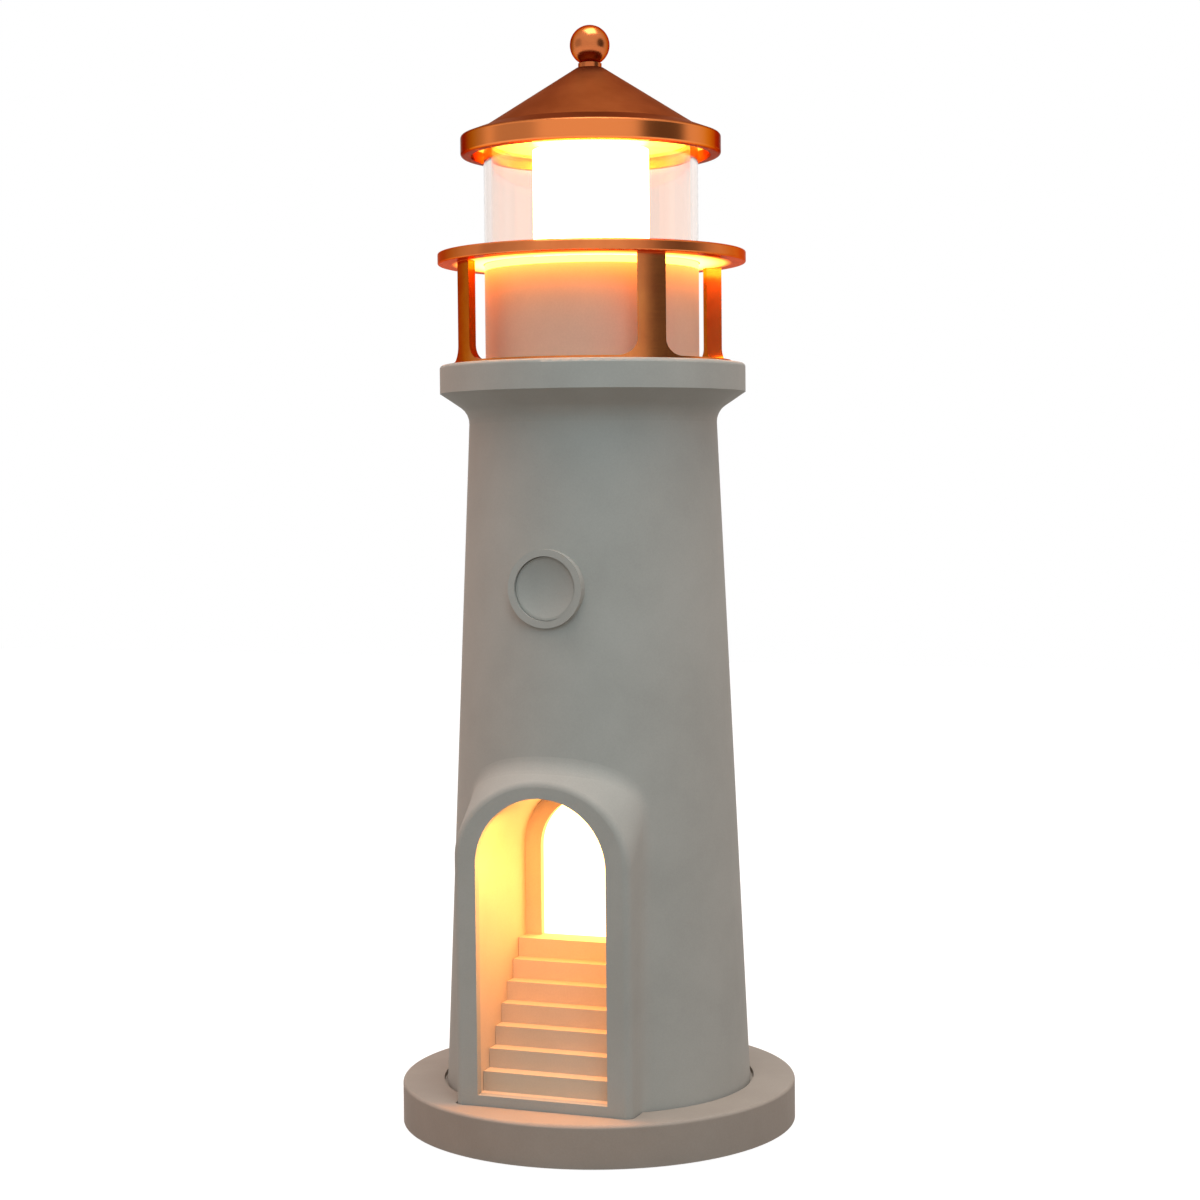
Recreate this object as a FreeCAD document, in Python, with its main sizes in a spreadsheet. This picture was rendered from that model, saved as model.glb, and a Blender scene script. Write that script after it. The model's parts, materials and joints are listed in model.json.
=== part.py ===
"""Lighthouse lamp: a resin tower with a lit stair niche, a copper gallery and a glass lantern.

Millimetres. The origin is the centre of the underside, +Z is up, and the stair niche looks along -Y.
"""

import FreeCAD, Part
import math
import os
import re
import Sketcher

V = FreeCAD.Vector

# ---------------------------------------------------------------- driving sizes
STEPS = 7

SIZES = {
    # base disc
    "base_radius": 52.5,
    "base_top": 11.2,
    "base_lift": 0.3,
    "base_round": 0.9,
    "base_deck": 3.0,
    "base_wall": 8.5,
    "cable_hole_radius": 12.0,
    "seat_depth": 1.2,
    "seat_gap": 0.9,
    "porch_seat_gap": 0.4,
    # cover, pad and ballast
    "cover_inset": 4.9,
    "cover_plate": 2.0,
    "cover_gap": 0.2,
    "pad_width": 9.6,
    "pad_thickness": 2.2,
    "cover_screw_inset": 4.1,
    "ballast_plate": 3.6,
    "ballast_gap": 0.8,
    # tower
    "foot_radius": 40.6,
    "neck_radius": 32.7,
    "tower_tall": 178.4,
    "flare_tall": 5.2,
    "flare_round": 5.0,
    "deck_walk": 3.75,
    "collar_tall": 7.5,
    "collar_round": 1.0,
    "tower_wall": 2.6,
    "tower_deck": 4.0,
    "foot_boss_radius": 5.6,
    "cover_boss_radius": 3.4,
    "foot_boss_tall": 12.0,
    "foot_boss_inset": 5.0,
    # porch and niche
    "porch_stand": 0.4,
    "porch_half_width": 24.0,
    "crown_drop": 2.5,
    "hood_climb": 0.9,
    "porch_round": 2.0,
    "porch_blend": 6.0,
    "porch_lip": 2.5,
    "porch_solid": 12.0,
    "opening_leg": 59.1,
    "porch_frame": 6.3,
    "sill_tall": 3.9,
    "niche_set": 0.6,
    "liner_wall": 1.5,
    "liner_gap": 0.15,
    "door_wall_distance": 6.0,
    "door_reveal": 4.5,
    "door_wall": 2.0,
    "stair_inset": 5.0,
    "step_rise": 5.03,
    "step_run": 4.07,
    "stair_gap": 0.1,
    "stair_skin": 2.0,
    "door_panel_lap": 1.6,
    "door_panel_thick": 1.6,
    "door_light_depth": 5.0,
    "board_thick": 1.2,
    "chip_side": 3.0,
    "chip_tall": 0.8,
    "chip_offset": 6.0,
    "chip_rise": 12.0,
    # round push button
    "button_rise": 133.3,
    "button_radius": 8.1,
    "button_gap": 0.15,
    "button_ring_radius": 10.0,
    "button_ring_stand": 1.2,
    "button_ring_root": 7.2,
    "button_sink": 0.9,
    "button_rim": 1.5,
    "button_dish_radius": 26.0,
    "button_dish_depth": 1.1,
    "button_flange": 1.2,
    "button_flange_lap": 1.0,
    "button_travel": 1.0,
    "button_stem_radius": 2.4,
    "button_stem": 3.0,
    "switch_side": 6.2,
    "switch_body": 3.4,
    "switch_stem_radius": 1.7,
    "switch_stem": 1.6,
    "switch_gap": 0.1,
    "housing_wall": 1.6,
    "housing_radius": 12.4,
    # gallery and drum
    "drum_radius": 28.3,
    "drum_tall": 24.6,
    "drum_wall": 2.3,
    "drum_boss_radius": 3.0,
    "drum_boss_inset": 7.8,
    "cage_gap": 5.2,
    "cage_wall": 3.2,
    "cage_sill": 0.7,
    "window_share": 0.626,
    "window_corner": 4.2,
    "plate_overhang": 4.0,
    "plate_thick": 3.0,
    "plate_round": 0.45,
    "glass_gap": 0.3,
    # lantern
    "light_ring_tall": 1.8,
    "light_ring_width": 4.8,
    "glass_wall": 2.0,
    "glass_shown": 25.3,
    "diffuser_radius": 15.3,
    "diffuser_wall": 1.4,
    "diffuser_gap": 1.6,
    "lamp_board_radius": 13.5,
    "post_radius": 5.0,
    "post_bore": 3.0,
    "post_drop": 6.2,
    "strip_width": 4.0,
    "strip_thick": 1.0,
    "strip_inset": 1.0,
    # roof and finial
    "roof_overhang": 6.04,
    "roof_rim_tall": 5.2,
    "roof_bevel": 6.24,
    "roof_bevel_tall": 2.3,
    "roof_rise": 15.6,
    "roof_lip": 2.7,
    "roof_recess": 3.0,
    "roof_skin": 1.8,
    "roof_crown": 4.84,
    "roof_peak_radius": 3.6,
    "roof_round": 0.8,
    "roof_gap": 0.1,
    "liner_plate": 2.2,
    "liner_edge": 1.5,
    "liner_bevel": 2.5,
    "glass_groove": 1.3,
    "groove_gap": 0.3,
    "ferrule_radius": 3.1,
    "ferrule_tall": 1.2,
    "ball_radius": 5.25,
    "ball_lift": 6.0,
    "ball_neck_radius": 2.5,
    "ball_neck": 3.0,
    "stud_radius": 1.5,
    "stud_bite": 5.0,
    "stud_hold": 4.0,
    # power
    "battery_radius": 9.15,
    "battery_length": 65.0,
    "battery_distance": 15.8,
    "battery_gap": 0.2,
    "holder_wall": 2.0,
    "holder_half_width": 11.5,
    "control_length": 26.0,
    "control_half_width": 15.2,
    "control_gap": 0.8,
    "control_chip": 9.0,
    "control_chip_side": 8.0,
    "control_chip_tall": 1.6,
    "control_coil": 6.0,
    "control_coil_side": 8.0,
    "control_coil_tall": 2.2,
    "control_part_front": 5.0,
    "socket_half_width": 4.47,
    "socket_tall": 3.26,
    "socket_depth": 7.3,
    "socket_skin": 0.4,
    "tongue_half_width": 3.3,
    "tongue_thick": 0.7,
    "port_half_width": 7.0,
    "port_half_tall": 3.1,
    "port_depth": 3.9,
    "port_clear": 0.2,
    "flap_thick": 2.0,
    "flap_flush": 0.35,
    "plug_half_width": 3.8,
    "plug_half_tall": 1.1,
    "plug_length": 1.4,
    "cable_radius": 1.2,
    "cable_room": 0.8,
    "cable_side": 13.3,
    "cable_rear": 17.0,
    "grommet_wall": 1.3,
    "grommet_flange": 1.5,
    # M3 screws
    "screw_radius": 1.5,
    "screw_clear": 0.2,
    "screw_head_radius": 2.8,
    "screw_head": 1.7,
    "screw_bite": 7.0,
    # how far a cutting shape reaches past what it cuts
    "through": 1.0,
}

# ---------------------------------------------------------------- places worked out from them
PLACES = {
    "hollow_radius": "base_radius - base_wall",
    "cover_radius": "base_radius - cover_inset",
    "pad_inner_radius": "cover_radius - pad_width",
    "cover_screw_distance": "pad_inner_radius - screw_head_radius - cover_screw_inset",
    "cover_bottom": "pad_thickness",
    "cover_top": "cover_bottom + cover_plate",
    "hollow_top": "base_top - base_deck",
    "foot": "base_top - seat_depth",
    "neck_top": "foot + tower_tall",
    "collar_bottom": "neck_top + flare_tall",
    "collar_top": "collar_bottom + collar_tall",
    "deck_bottom": "collar_top - tower_deck",
    "slope": "(foot_radius - neck_radius) / tower_tall",
    "cavity_foot_radius": "foot_radius - tower_wall",
    "foot_screw_distance": "cavity_foot_radius - foot_boss_inset",
    "cavity_neck_radius": "neck_radius - tower_wall",
    "porch_face": "foot_radius + porch_stand",
    "porch_crown": "porch_half_width - crown_drop",
    "arch_radius": "porch_half_width - porch_frame",
    "niche_half_width": "arch_radius + niche_set",
    "door_radius": "niche_half_width - door_reveal",
    "first_riser": "porch_face - stair_inset",
    "sill_top": "foot + sill_tall",
    "arch_spring": "sill_top + opening_leg",
    "landing_top": f"sill_top + {STEPS} * step_rise",
    "liner_half_width": "niche_half_width + liner_wall",
    "liner_front": "porch_face - porch_lip",
    "liner_bottom": "sill_top - liner_wall",
    "door_wall_rear": "door_wall_distance - door_wall",
    "door_panel_rear": "door_wall_rear - door_panel_thick",
    "light_box_rear": "door_wall_rear - door_light_depth",
    "button_height": "foot + button_rise",
    "button_ring_face": "foot_radius - slope * button_rise + button_ring_stand",
    "button_face": "button_ring_face - button_sink",
    "button_seat": "button_face - button_rim - button_gap",
    "button_flange_front": "button_face - button_rim - button_gap - button_gap",
    "button_flange_rear": "button_flange_front - button_flange",
    "button_flange_radius": "button_radius + button_flange_lap",
    "button_tip": "button_flange_rear - button_stem",
    "switch_board": "button_tip - switch_stem - switch_body",
    "cage_radius": "drum_radius + cage_gap + cage_wall",
    "collar_radius": "cage_radius + deck_walk",
    "plate_radius": "cage_radius + plate_overhang",
    "window_half_width": "cage_radius * window_share",
    "drum_screw_distance": "drum_radius - drum_boss_inset",
    "light_ring_inner": "drum_radius - light_ring_width",
    "drum_top": "collar_top + drum_tall",
    "plate_bottom": "drum_top + light_ring_tall",
    "plate_top": "plate_bottom + plate_thick",
    "plate_inner": "drum_radius + glass_gap",
    "glass_inner": "drum_radius - glass_wall",
    "roof_radius": "drum_radius + roof_overhang",
    "roof_rim_bottom": "plate_top + glass_shown",
    "roof_rim_top": "roof_rim_bottom + roof_rim_tall",
    "roof_shoulder_radius": "roof_radius - roof_bevel",
    "roof_shoulder": "roof_rim_top + roof_bevel_tall",
    "roof_peak": "roof_shoulder + roof_rise",
    "roof_inner": "roof_radius - roof_lip",
    "liner_plate_bottom": "roof_rim_bottom + roof_recess",
    "liner_edge_top": "liner_plate_bottom + liner_edge",
    "liner_plate_top": "liner_plate_bottom + liner_plate",
    "glass_top": "liner_plate_bottom + glass_groove - groove_gap",
    "diffuser_top": "liner_plate_bottom - diffuser_gap",
    "post_bottom": "drum_top + board_thick",
    "post_top": "diffuser_top - post_drop",
    "ball_centre": "roof_peak + ball_lift",
    "ferrule_top": "roof_peak + ferrule_tall",
    "stud_bottom": "roof_peak - stud_bite",
    "battery_bottom": "foot + holder_wall + battery_gap",
    "control_top": "cover_top + board_thick",
    "port_middle": "cover_top + socket_tall / 2 + port_clear",
    "socket_mouth": "base_radius - port_depth",
    "socket_rear": "socket_mouth - port_clear - socket_depth",
    "control_front": "socket_rear - control_gap - control_length",
    "flap_rear": "base_radius - flap_thick - flap_flush",
}

ALIASES = re.compile(r"[a-z][a-z_]+")

doc = FreeCAD.newDocument("lighthouse_lamp")
size_sheet = doc.addObject("Spreadsheet::Sheet", "Size")
place_sheet = doc.addObject("Spreadsheet::Sheet", "Place")


def formula(text, own_sheet=False):
    """Give each alias in a text the name of the sheet that holds it."""

    def with_sheet(match):
        word = match[0]
        if word in SIZES:
            return "Size." + word
        if word in PLACES:
            return word if own_sheet else "Place." + word
        raise KeyError(word)

    return ALIASES.sub(with_sheet, text)


def fill_sheets():
    for row, (alias, value) in enumerate(SIZES.items(), start=1):
        size_sheet.set(f"A{row}", alias)
        size_sheet.set(f"B{row}", str(value))
        size_sheet.setAlias(f"B{row}", alias)
    for row, (alias, text) in enumerate(PLACES.items(), start=1):
        place_sheet.set(f"A{row}", alias)
        place_sheet.setAlias(f"B{row}", alias)
    for row, (alias, text) in enumerate(PLACES.items(), start=1):
        place_sheet.set(f"B{row}", "=" + formula(text, own_sheet=True))
    doc.recompute()


fill_sheets()


def size(text):
    """The present value of a formula, for what has no property to bind."""
    return float(size_sheet.evalExpression(formula(text)))


# ---------------------------------------------------------------- building blocks
made = {}
helper_count = 0


def part_name(node=None):
    """A node's own name, or the next name of a helper shape."""
    global helper_count
    if node:
        return node
    helper_count += 1
    return f"shape_{helper_count:03d}"


def keep(obj, node):
    """Name an object as a finished piece of the lamp."""
    if node:
        obj.Label = node
        made[node] = obj
    return obj


def bind(obj, at, **properties):
    """Tie an object's sizes, and the place of its origin, to the sheets."""
    for name, text in properties.items():
        obj.setExpression(name, formula(text))
    for axis, text in zip("xyz", at or ()):
        obj.setExpression("Placement.Base." + axis, formula(text))


def cylinder(radius, height, at=("0", "0", "0"), along="z", node=None):
    """A cylinder from a point, along +Z or, for a piece of the front, along +Y."""
    obj = doc.addObject("Part::Cylinder", part_name(node))
    bind(obj, at, Radius=radius, Height=height)
    if along == "y":
        obj.Placement.Rotation = FreeCAD.Rotation(V(1, 0, 0), -90)
    return keep(obj, node)


def cone(low_radius, high_radius, height, at=("0", "0", "0"), node=None):
    obj = doc.addObject("Part::Cone", part_name(node))
    bind(obj, at, Radius1=low_radius, Radius2=high_radius, Height=height)
    return keep(obj, node)


def sphere(radius, at, node=None):
    obj = doc.addObject("Part::Sphere", part_name(node))
    bind(obj, at, Radius=radius)
    return keep(obj, node)


def box(length, width, height, at, node=None):
    """A box from its lowest corner."""
    obj = doc.addObject("Part::Box", part_name(node))
    bind(obj, at, Length=length, Width=width, Height=height)
    return keep(obj, node)


def fuse(*shapes, node=None):
    obj = doc.addObject("Part::MultiFuse", part_name(node))
    obj.Shapes = list(shapes)
    obj.Refine = True
    return keep(obj, node)


def common(*shapes, node=None):
    obj = doc.addObject("Part::MultiCommon", part_name(node))
    obj.Shapes = list(shapes)
    return keep(obj, node)


def cut(base, *tools, node=None):
    obj = doc.addObject("Part::Cut", part_name(node))
    obj.Base = base
    obj.Tool = tools[0] if len(tools) == 1 else fuse(*tools)
    obj.Refine = True
    return keep(obj, node)


def group(*shapes, node=None):
    """Separate equal solids in one piece's file, such as a set of screws."""
    obj = doc.addObject("Part::Compound", part_name(node))
    obj.Links = list(shapes)
    return keep(obj, node)


def rounded(base, radius, wanted, node=None):
    """Fillet the edges that a test picks."""
    doc.recompute()
    obj = doc.addObject("Part::Fillet", part_name(node))
    obj.Base = base
    picked = [n for n, edge in enumerate(base.Shape.Edges, start=1) if wanted(edge)]
    obj.Edges = [(n, radius, radius) for n in picked]
    return keep(obj, node)


def circle_at(radius, height):
    """A test for level circles of one radius at one height."""

    def wanted(edge):
        curve = edge.Curve
        return (
            isinstance(curve, Part.Circle)
            and abs(curve.Radius - radius) < 1e-3
            and abs(curve.Center.z - height) < 1e-3
        )

    return wanted


def plane_of(body, role):
    return next(f for f in body.Origin.OriginFeatures if f.Role == role)


def turned(corners, node=None):
    """A body of revolution about Z, from the (radius, height) corners of its half section."""
    name = part_name(node)
    body = doc.addObject("PartDesign::Body", name)
    sketch = body.newObject("Sketcher::SketchObject", name + "_section")
    sketch.AttachmentSupport = [(plane_of(body, "XZ_Plane"), "")]
    sketch.MapMode = "FlatFace"
    count = len(corners)
    start = [V(size(radius), size(height), 0) for radius, height in corners]
    for n in range(count):
        sketch.addGeometry(Part.LineSegment(start[n], start[(n + 1) % count]), False)
    for n in range(count):
        sketch.addConstraint(Sketcher.Constraint("Coincident", n, 2, (n + 1) % count, 1))
    for n, (radius, height) in enumerate(corners):
        for kind, value, text in (("DistanceX", start[n].x, radius), ("DistanceY", start[n].y, height)):
            index = sketch.addConstraint(Sketcher.Constraint(kind, -1, 1, n, 1, value))
            sketch.setExpression(f"Constraints[{index}]", formula(text))
    turn = body.newObject("PartDesign::Revolution", name + "_turn")
    turn.Profile = sketch
    turn.ReferenceAxis = (sketch, ["V_Axis"])
    turn.Angle = 360.0
    sketch.Visibility = False
    return keep(body, node)


def arch(half_width, bottom, front, rear):
    """An arched prism along Y. Its round top is centred on the niche's springing line."""
    depth = f"({front}) - ({rear})"
    leg = box(
        f"2 * ({half_width})",
        depth,
        f"arch_spring - ({bottom})",
        (f"-({half_width})", f"-({front})", bottom),
    )
    top = cylinder(half_width, depth, ("0", f"-({front})", "arch_spring"), along="y")
    return fuse(leg, top)


def screw(x, y, head_bottom, node=None):
    """A pan-head screw with its head down."""
    head = cylinder("screw_head_radius", "screw_head", (x, y, head_bottom))
    shank = cylinder("screw_radius", "screw_head + screw_bite", (x, y, head_bottom))
    return fuse(head, shank)


def tube_hole(x, y, bottom, length):
    """The clearance hole for a screw."""
    return cylinder("screw_radius + screw_clear", length, (x, y, bottom))


# ---------------------------------------------------------------- base
def around(distance, turns):
    """Points on a circle, by how far each is turned from the front, in degrees."""
    return [
        (
            f"{round(math.sin(math.radians(turn)), 6)} * {distance}",
            f"{round(-math.cos(math.radians(turn)), 6)} * {distance}",
        )
        for turn in turns
    ]


COVER_SCREWS = around("cover_screw_distance", (52, 128, 232, 308))
FOOT_SCREWS = around("foot_screw_distance", (65, 180, 295))
DRUM_SCREWS = around("drum_screw_distance", (0, 120, 240))


def front_upright(edge):
    """An upright edge at the front."""
    low, high = edge.Vertexes[0].Point, edge.Vertexes[-1].Point
    return abs(low.z - high.z) > 1 and low.y < -1 and high.y < -1


def make_base():
    disc = turned(
        [
            ("cable_hole_radius", "hollow_top"),
            ("hollow_radius", "hollow_top"),
            ("hollow_radius", "cover_top"),
            ("cover_radius + cover_gap", "cover_top"),
            ("cover_radius + cover_gap", "base_lift"),
            ("base_radius", "base_lift"),
            ("base_radius", "base_top"),
            ("cable_hole_radius", "base_top"),
        ]
    )
    porch_seat = box(
        "2 * (porch_half_width + porch_seat_gap)",
        "porch_face + porch_seat_gap",
        "base_top",
        ("-porch_half_width - porch_seat_gap", "-porch_face - porch_seat_gap", "foot"),
    )
    porch_seat = rounded(porch_seat, size("porch_round + porch_seat_gap"), front_upright)
    seat = fuse(cylinder("foot_radius + seat_gap", "base_top", ("0", "0", "foot")), porch_seat)
    bosses = [
        cylinder("cover_boss_radius", "hollow_top - cover_top + through", (x, y, "cover_top"))
        for x, y in COVER_SCREWS
    ]
    holes = [tube_hole(x, y, "hollow_top - through", "base_top") for x, y in FOOT_SCREWS]
    holes += [cylinder("screw_radius", "screw_bite", (x, y, "cover_bottom")) for x, y in COVER_SCREWS]
    port = box(
        "2 * port_half_width",
        "base_radius",
        "2 * port_half_tall",
        ("-port_half_width", "socket_mouth", "port_middle - port_half_tall"),
    )
    socket_way = box(
        "2 * (socket_half_width + port_clear)",
        "base_wall",
        "socket_tall + 2 * port_clear",
        (
            "-socket_half_width - port_clear",
            "hollow_radius - through",
            "port_middle - socket_tall / 2 - port_clear",
        ),
    )
    body = fuse(cut(disc, seat), *bosses)
    cable_way = cylinder(
        "cable_radius + cable_room", "base_top", ("cable_side", "cable_rear", "cover_top")
    )
    body = cut(body, *holes, port, socket_way, cable_way)
    wanted = circle_at(size("base_radius"), size("base_top"))
    rounded(body, size("base_round"), wanted, node="base_disc")

    cover = cylinder("cover_radius", "cover_plate", ("0", "0", "cover_bottom"))
    cover_holes = [tube_hole(x, y, "0", "base_top") for x, y in COVER_SCREWS]
    cut(cover, *cover_holes, node="base_cover")

    cut(
        cylinder("cover_radius", "pad_thickness"),
        cylinder("pad_inner_radius", "base_top"),
        node="base_pad",
    )
    group(
        *[screw(x, y, "cover_bottom - screw_head") for x, y in COVER_SCREWS],
        node="cover_screws",
    )
    group(
        *[screw(x, y, "hollow_top - screw_head") for x, y in FOOT_SCREWS],
        node="tower_screws",
    )

    plate = cylinder("hollow_radius - ballast_gap", "ballast_plate", ("0", "0", "cover_top"))
    rear = box(
        "2 * base_radius",
        "base_radius",
        "base_top",
        ("-base_radius", "battery_distance - battery_radius", "0"),
    )
    reliefs = [
        cylinder("cover_boss_radius + ballast_gap", "base_top", (x, y, "0"))
        for x, y in COVER_SCREWS + FOOT_SCREWS
    ]
    cut(plate, rear, *reliefs, node="ballast_plate")


# ---------------------------------------------------------------- tower
def blend_edge(edge):
    """The line where the porch's side walls and hood run into the tower's cone."""
    spot = edge.valueAt((edge.FirstParameter + edge.LastParameter) / 2)
    radius = math.hypot(spot.x, spot.y)
    on_cone = abs(radius - size("foot_radius") + size("slope") * (spot.z - size("foot"))) < 0.02
    above_foot = spot.z > size("foot") + 0.5
    low = spot.z < size("arch_spring + 2 * porch_half_width")
    return on_cone and above_foot and low and spot.y < 0


def face_edge(edge):
    """The outline of the porch's flat face."""
    ends = [edge.valueAt(edge.FirstParameter), edge.valueAt(edge.LastParameter)]
    on_face = all(abs(end.y + size("porch_face")) < 1e-3 for end in ends)
    level = abs(ends[0].z - ends[1].z) < 1e-3 and abs(ends[0].z - size("foot")) < 1e-3
    return on_face and not level


def porch_shape():
    """The porch: straight side walls, and a hood whose crown climbs as it goes back into the tower."""
    half, face, spring, crown = (
        size(a) for a in ("porch_half_width", "porch_face", "arch_spring", "porch_crown")
    )
    bottom = size("foot") - half * size("hood_climb")
    corners = [
        V(-half, -face, spring),
        V(-half, -face, bottom),
        V(half, -face, bottom),
        V(half, -face, spring),
    ]
    legs = [Part.LineSegment(a, b).toShape() for a, b in zip(corners, corners[1:])]
    oval = Part.Ellipse(V(half, -face, spring), V(0, -face, spring + crown), V(0, -face, spring))
    hood = Part.Arc(oval, 0, math.pi).toShape()
    if hood.valueAt(hood.LastParameter / 2).z < spring:
        hood = Part.Arc(oval, math.pi, 2 * math.pi).toShape()
    outline = Part.Face(Part.Wire(Part.__sortEdges__(legs + [hood])))
    back = half - size("porch_round")
    return outline.extrude(V(0, back, back * size("hood_climb")))


def make_tower():
    outside = turned(
        [
            ("0", "foot"),
            ("foot_radius", "foot"),
            ("neck_radius", "neck_top"),
            ("collar_radius", "collar_bottom"),
            ("collar_radius", "collar_top"),
            ("0", "collar_top"),
        ]
    )
    slanted = doc.addObject("Part::Feature", part_name())
    slanted.Shape = porch_shape()
    porch = common(
        slanted,
        box(
            "2 * base_radius",
            "base_radius",
            "collar_bottom - foot",
            ("-base_radius", "-base_radius", "foot"),
        ),
    )
    outside = rounded(outside, size("flare_round"), circle_at(size("neck_radius"), size("neck_top")))
    solid = fuse(outside, porch)
    solid = rounded(solid, size("porch_blend"), blend_edge)
    solid = rounded(solid, size("porch_round"), face_edge)
    solid = rounded(solid, size("collar_round"), circle_at(size("collar_radius"), size("collar_top")))
    ring = cylinder(
        "button_ring_radius",
        "button_ring_root",
        ("0", "-button_ring_face", "button_height"),
        along="y",
    )
    solid = fuse(solid, ring)

    cavity = turned(
        [
            ("0", "foot - through"),
            ("cavity_foot_radius + slope * through", "foot - through"),
            ("cavity_neck_radius", "neck_top"),
            ("cavity_neck_radius", "deck_bottom"),
            ("0", "deck_bottom"),
        ]
    )
    keep_in = fuse(
        arch("liner_half_width + tower_wall", "foot", "porch_face", "porch_face - porch_solid"),
        *[cylinder("foot_boss_radius", "foot_boss_tall", (x, y, "foot")) for x, y in FOOT_SCREWS],
    )
    hollow = cut(cavity, keep_in)
    doorway = arch("arch_radius", "sill_top", "porch_face + through", "0")
    niche = arch(
        "liner_half_width + liner_gap", "liner_bottom - liner_gap", "liner_front + liner_gap", "0"
    )
    bore = cylinder(
        "button_radius + button_gap",
        "button_ring_face",
        ("0", "-base_radius", "button_height"),
        along="y",
    )
    seat = cylinder(
        "button_flange_radius + button_gap",
        "porch_solid",
        ("0", "-button_seat", "button_height"),
        along="y",
    )
    holes = [cylinder("screw_radius", "screw_bite", (x, y, "foot")) for x, y in FOOT_SCREWS]
    below_deck, past_deck = "deck_bottom - through", "tower_deck + 2 * through"
    deck_holes = [tube_hole(x, y, below_deck, past_deck) for x, y in DRUM_SCREWS]
    cable_way = cylinder(
        "cable_radius + grommet_wall", past_deck, ("cable_side", "cable_rear", below_deck)
    )
    cut(solid, hollow, doorway, niche, bore, seat, cable_way, *holes, *deck_holes, node="tower_shell")


# ---------------------------------------------------------------- stair niche
def make_niche():
    outer = arch("liner_half_width", "liner_bottom", "liner_front", "door_wall_rear")
    inner = arch("niche_half_width", "sill_top", "porch_face", "door_wall_distance")
    door = arch("door_radius", "landing_top", "porch_face", "0")
    cut(outer, inner, door, node="niche_liner")

    steps = []
    hollows = []
    for n in range(STEPS):
        front = f"first_riser - {n} * step_run"
        steps.append(
            box(
                "2 * (niche_half_width - stair_gap)",
                f"{front} - door_wall_distance",
                f"{n + 1} * step_rise",
                ("-niche_half_width + stair_gap", f"-({front})", "sill_top"),
            )
        )
        if n:
            hollows.append(
                box(
                    "2 * (niche_half_width - stair_gap - stair_skin)",
                    f"{front} - door_wall_distance - 2 * stair_skin",
                    f"{n + 1} * step_rise - stair_skin",
                    (
                        "-niche_half_width + stair_gap + stair_skin",
                        f"-({front}) + stair_skin",
                        "sill_top",
                    ),
                )
            )
    cut(fuse(*steps), *hollows, node="stair_block")

    lap = "door_radius + door_panel_lap"
    panel = arch(lap, "landing_top - door_panel_lap", "door_wall_rear", "door_panel_rear")
    keep(panel, "door_panel")

    outer_lap, outer_foot = f"{lap} + liner_wall", "landing_top - door_panel_lap - liner_wall"
    frame_outer = arch(outer_lap, outer_foot, "door_wall_rear", "light_box_rear")
    frame_inner = arch(
        lap, "landing_top - door_panel_lap", "porch_face", "light_box_rear - through"
    )
    cut(frame_outer, frame_inner, node="door_light_box")

    board = arch(outer_lap, outer_foot, "light_box_rear", "light_box_rear - board_thick")
    chips = [
        box(
            "chip_side",
            "chip_tall",
            "chip_side",
            (
                f"{side} * chip_offset - chip_side / 2",
                "-light_box_rear - chip_tall",
                f"arch_spring + {row} * chip_rise - chip_side / 2",
            ),
        )
        for side in (-1, 1)
        for row in (-1.5, -0.5, 0.5)
    ]
    keep(board, "door_light_board")
    group(*chips, node="door_light_chips")


# ---------------------------------------------------------------- push button
def make_button():
    z = "button_height"
    disc = cylinder(
        "button_radius", "button_face - button_flange_rear", ("0", "-button_face", z), along="y"
    )
    flange = cylinder(
        "button_flange_radius", "button_flange", ("0", "-button_flange_front", z), along="y"
    )
    stem = cylinder(
        "button_stem_radius",
        "button_flange_front - button_tip",
        ("0", "-button_flange_front", z),
        along="y",
    )
    dish = sphere(
        "button_dish_radius", ("0", "-button_face - button_dish_radius + button_dish_depth", z)
    )
    cut(fuse(disc, flange, stem), dish, node="button_cap")

    half = "switch_side / 2"
    body = box(
        "switch_side",
        "switch_body",
        "switch_side",
        (f"-{half}", "-switch_board - switch_body", f"{z} - {half}"),
    )
    well = cylinder(
        "switch_stem_radius + switch_gap",
        "2 * button_travel + switch_gap",
        ("0", "-switch_board - switch_body", z),
        along="y",
    )
    cut(body, well, node="button_switch")
    cylinder(
        "switch_stem_radius",
        "switch_stem + button_travel",
        ("0", "-button_tip", z),
        along="y",
        node="switch_plunger",
    )
    cylinder("housing_radius", "board_thick", ("0", "-switch_board", z), along="y", node="button_board")

    ahead = ("0", "-porch_face", z)
    tube = cylinder("housing_radius", "porch_face - switch_board", ahead, along="y")
    bore = cylinder("housing_radius - housing_wall", "porch_face", ahead, along="y")
    inside = cone(
        "cavity_foot_radius", "cavity_neck_radius", "neck_top - foot", ("0", "0", "foot")
    )
    common(cut(tube, bore), inside, node="button_housing")


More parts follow.
